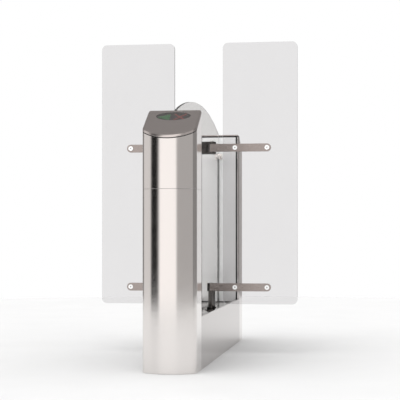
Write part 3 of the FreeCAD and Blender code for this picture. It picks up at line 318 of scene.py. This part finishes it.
for node, piece in frame["nodes"].items():
    finish = OWN_FINISH.get(node) or FINISHES[SLOT_OF[node]]
    piece.data.materials.clear()
    piece.data.materials.append(finish)

# ---------------------------------------------------------------- the studio


WALL_TONE = 0.28
CEILING_TONE = 0.45
PANEL_SOFTNESS = 6.0
DIFFUSE_BOOST = 0.4
# Upright panels: name, centre and width in degrees round the object from the front, tone.
STUDIO_PANELS = (
    ("right wall", 40.0, 50.0, 0.50),
    ("left panel", -80.0, 40.0, 0.80),
    ("black flag", -50.0, 20.0, 0.01),
    ("front panel", -10.0, 50.0, 1.25),
    ("back wall", 180.0, 60.0, 0.45),
)


def warm(tone):
    """A grey with the slight warmth of the studio's lamps."""
    return tone, 0.97 * tone, 0.955 * tone


def panel_mask(tree, turn, centre, width):
    """1 in the directions that a panel fills and 0 beyond its soft edges; directions are in degrees."""
    apart = math_node(tree, "ABSOLUTE", math_node(tree, "SUBTRACT", turn, math.radians(centre)))
    inner = math.radians((width - PANEL_SOFTNESS) / 2.0)
    outer = math.radians((width + PANEL_SOFTNESS) / 2.0)
    return spread(tree, apart, 1.0, 0.0, inner, outer)


def studio_world():
    """A white room; mirrored rays see grey walls, a paler ceiling and the upright panels."""
    world = bpy.data.worlds.new("Studio")
    bpy.context.scene.world = world
    world.use_nodes = True
    tree = world.node_tree
    tree.nodes.clear()
    source = tree.nodes.new("ShaderNodeTexCoord")
    split = tree.nodes.new("ShaderNodeSeparateXYZ")
    tree.links.new(source.outputs["Generated"], split.inputs[0])
    behind = math_node(tree, "MULTIPLY", split.outputs["Y"], -1.0)
    turn = math_node(tree, "ARCTAN2", split.outputs["X"], behind)
    ceiling = spread(tree, split.outputs["Z"], 0.0, 1.0, 0.90, 0.98)
    walls = warm(WALL_TONE)
    for label, centre, width, tone in STUDIO_PANELS:
        mask = panel_mask(tree, turn, centre, width)
        mask.node.label = label
        walls = blended(tree, mask, walls, warm(tone))
    sky = blended(tree, ceiling, walls, warm(CEILING_TONE))
    background = tree.nodes.new("ShaderNodeBackground")
    tree.links.new(sky, background.inputs["Color"])
    path = tree.nodes.new("ShaderNodeLightPath")
    white = tree.nodes.new("ShaderNodeBackground")
    white.inputs["Color"].default_value = (1.0, 1.0, 1.0, 1.0)
    soft = math_node(tree, "MULTIPLY_ADD", path.outputs["Is Diffuse Ray"], DIFFUSE_BOOST)
    soft.node.inputs[2].default_value = 1.0
    tree.links.new(soft, white.inputs["Strength"])
    matt = math_node(tree, "SUBTRACT", 1.0, path.outputs["Is Glossy Ray"])
    seen = math_node(tree, "MAXIMUM", path.outputs["Is Transmission Ray"], matt)
    mix = tree.nodes.new("ShaderNodeMixShader")
    tree.links.new(seen, mix.inputs[0])
    tree.links.new(background.outputs[0], mix.inputs[1])
    tree.links.new(white.outputs[0], mix.inputs[2])
    output = tree.nodes.new("ShaderNodeOutputWorld")
    tree.links.new(mix.outputs[0], output.inputs["Surface"])


LAMP_ENERGY = 1.2
LAMP_SPREAD = math.radians(50.0)
LAMP_DIRECTION = Vector((0.28, 0.30, -1.0))


def sun():
    """A broad overhead lamp, a little to the front and the left, for the floor and the soft shadows."""
    lamp = bpy.data.lights.new("Overhead", "SUN")
    lamp.energy = LAMP_ENERGY
    lamp.angle = LAMP_SPREAD
    holder = bpy.data.objects.new("Overhead", lamp)
    holder.rotation_euler = LAMP_DIRECTION.to_track_quat("-Z", "Y").to_euler()
    holder.visible_glossy = False
    bpy.context.collection.objects.link(holder)


FLOOR_RADIUS = 4.2
FLOOR_LEVEL = -0.0005


def floor():
    """A plain pale floor, just under the object."""
    place = (0.0, 0.0, FLOOR_LEVEL)
    bpy.ops.mesh.primitive_circle_add(vertices=96, radius=FLOOR_RADIUS, fill_type="NGON", location=place)
    disc = bpy.context.object
    disc.name = "Studio_floor"
    material, tree, shader = new_material("Studio floor")
    grain = noise(tree, (3.0, 3.0, 3.0), 3.0)
    pale = blended(tree, spread(tree, grain, 0.0, 1.0), (0.63, 0.63, 0.63), (0.65, 0.65, 0.65))
    tree.links.new(pale, shader.inputs["Base Color"])
    shader.inputs["Roughness"].default_value = 0.6
    disc.data.materials.append(material)


CAMERA_LENS = 98.16
CAMERA_SENSOR = 36.0
CAMERA_SHIFT = (-0.12, 0.0784)
CAMERA_PLACE = (0.803, -4.681, 0.5315)
CAMERA_TURN = (math.radians(90.0), 0.0, math.radians(7.161))
CAMERA_REACH = 200.0


def camera():
    """The viewing angle: a long lens low in front of the right lane, turned a little to the left."""
    data = bpy.data.cameras.new("View")
    data.lens = CAMERA_LENS
    data.sensor_width = CAMERA_SENSOR
    data.shift_x, data.shift_y = CAMERA_SHIFT
    data.clip_end = CAMERA_REACH
    holder = bpy.data.objects.new("View", data)
    holder.location = CAMERA_PLACE
    holder.rotation_euler = CAMERA_TURN
    bpy.context.collection.objects.link(holder)
    bpy.context.scene.camera = holder


studio_world()
sun()
floor()
camera()
bpy.context.scene.view_settings.view_transform = "Standard"
